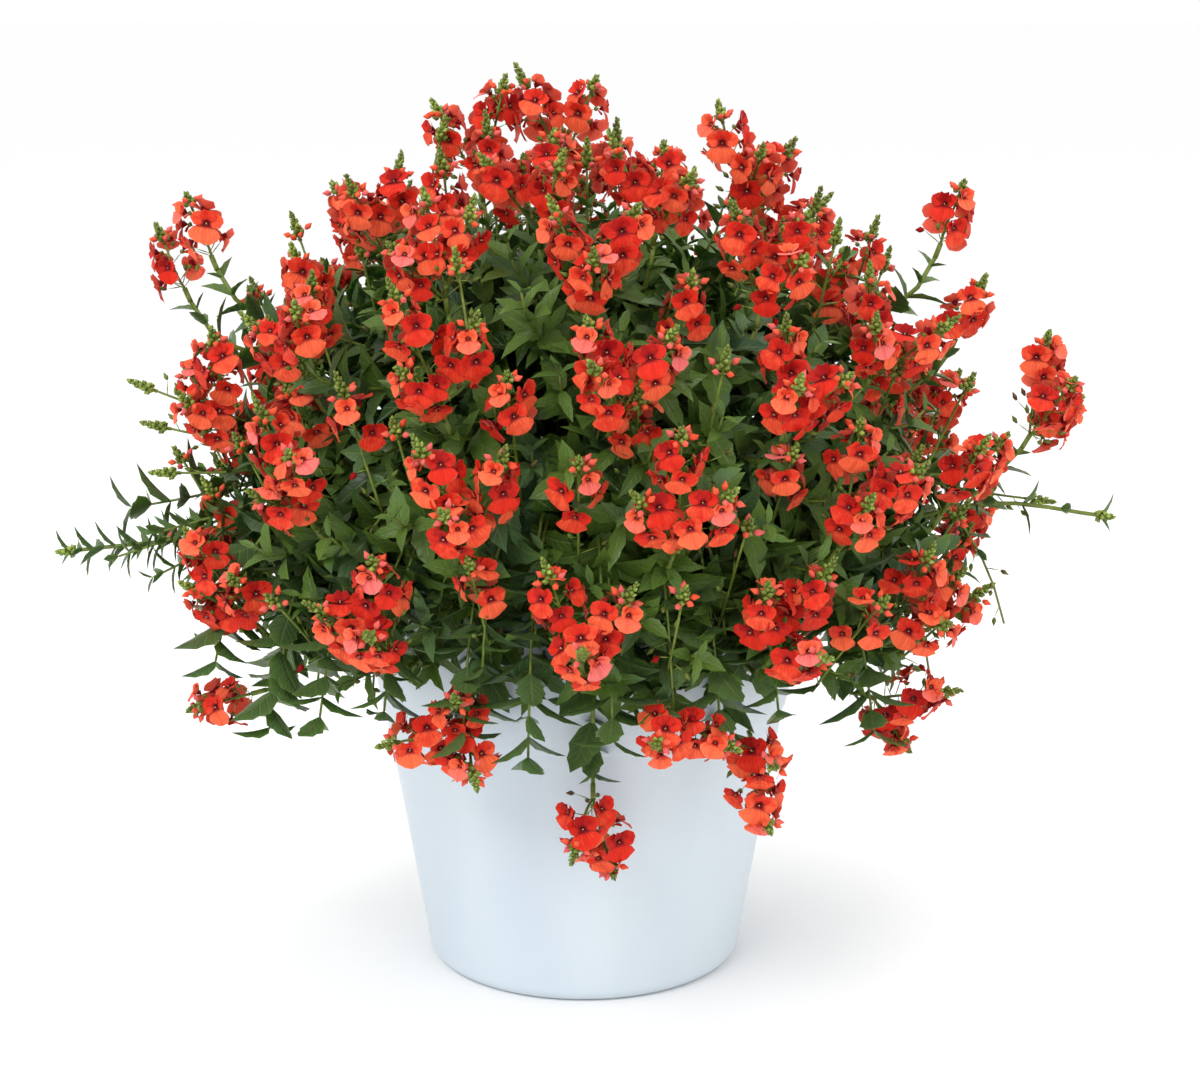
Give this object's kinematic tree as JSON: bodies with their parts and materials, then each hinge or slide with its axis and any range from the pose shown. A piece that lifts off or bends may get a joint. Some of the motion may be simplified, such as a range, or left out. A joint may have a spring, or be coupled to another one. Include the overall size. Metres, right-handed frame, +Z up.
{
  "type": "potted twinspur",
  "caption": "Mound-shaped flowering plant with many small coral blooms on thin stems over toothed dark green leaves, in a plain tapered plastic nursery pot.",
  "frame": {"origin": "centre of the pot's flat underside", "axes": "+Z up along the axis of the pot, and the pictured front of the plant faces -Y"},
  "size_m": [0.615, 0.4395, 0.5224],
  "materials": {
    "pot_plastic": "smooth satin",
    "potting_soil": "rough peat and bark crumbs",
    "green_leaves": "satin leaf",
    "coral_petals": "soft matte petal"
  },
  "bodies": {
    "root": {"bud_stem_left": "green_leaves", "bud_stem_right": "green_leaves", "flower_bunch_01": "coral_petals", "flower_bunch_02": "coral_petals", "flower_bunch_03": "coral_petals", "flower_bunch_04": "coral_petals", "flower_bunch_05": "coral_petals", "flower_bunch_06": "coral_petals", "flower_bunch_07": "coral_petals", "flower_bunch_08": "coral_petals", "flower_bunch_09": "coral_petals", "flower_bunch_10": "coral_petals", "flower_bunch_11": "coral_petals", "flower_bunch_12": "coral_petals", "flower_bunch_13": "coral_petals", "flower_bunch_14": "coral_petals", "flower_bunch_15": "coral_petals", "flower_bunch_16": "coral_petals", "flower_bunch_17": "coral_petals", "flower_bunch_18": "coral_petals", "flower_bunch_19": "coral_petals", "flower_bunch_20": "coral_petals", "flower_bunch_21": "coral_petals", "flower_bunch_22": "coral_petals", "flower_bunch_23": "coral_petals", "flower_bunch_24": "coral_petals", "flower_bunch_25": "coral_petals", "flower_bunch_26": "coral_petals", "flower_bunch_27": "coral_petals", "flower_bunch_28": "coral_petals", "flower_bunch_29": "coral_petals", "flower_bunch_30": "coral_petals", "flower_bunch_31": "coral_petals", "flower_bunch_32": "coral_petals", "flower_bunch_33": "coral_petals", "flower_bunch_34": "coral_petals", "flower_bunch_35": "coral_petals", "flower_bunch_36": "coral_petals", "flower_bunch_37": "coral_petals", "flower_bunch_38": "coral_petals", "flower_bunch_39": "coral_petals", "flower_bunch_40": "coral_petals", "leafy_bush": "green_leaves", "pot": "pot_plastic", "soil": "potting_soil", "trailing_bunch_1": "coral_petals", "trailing_bunch_2": "coral_petals", "trailing_bunch_3": "coral_petals", "trailing_bunch_4": "coral_petals", "trailing_bunch_5": "coral_petals", "trailing_bunch_6": "coral_petals", "trailing_bunch_7": "coral_petals", "trailing_stem_1": "green_leaves", "trailing_stem_2": "green_leaves", "trailing_stem_3": "green_leaves", "trailing_stem_4": "green_leaves", "trailing_stem_5": "green_leaves", "trailing_stem_6": "green_leaves", "trailing_stem_7": "green_leaves"}
  },
  "joints": []
}
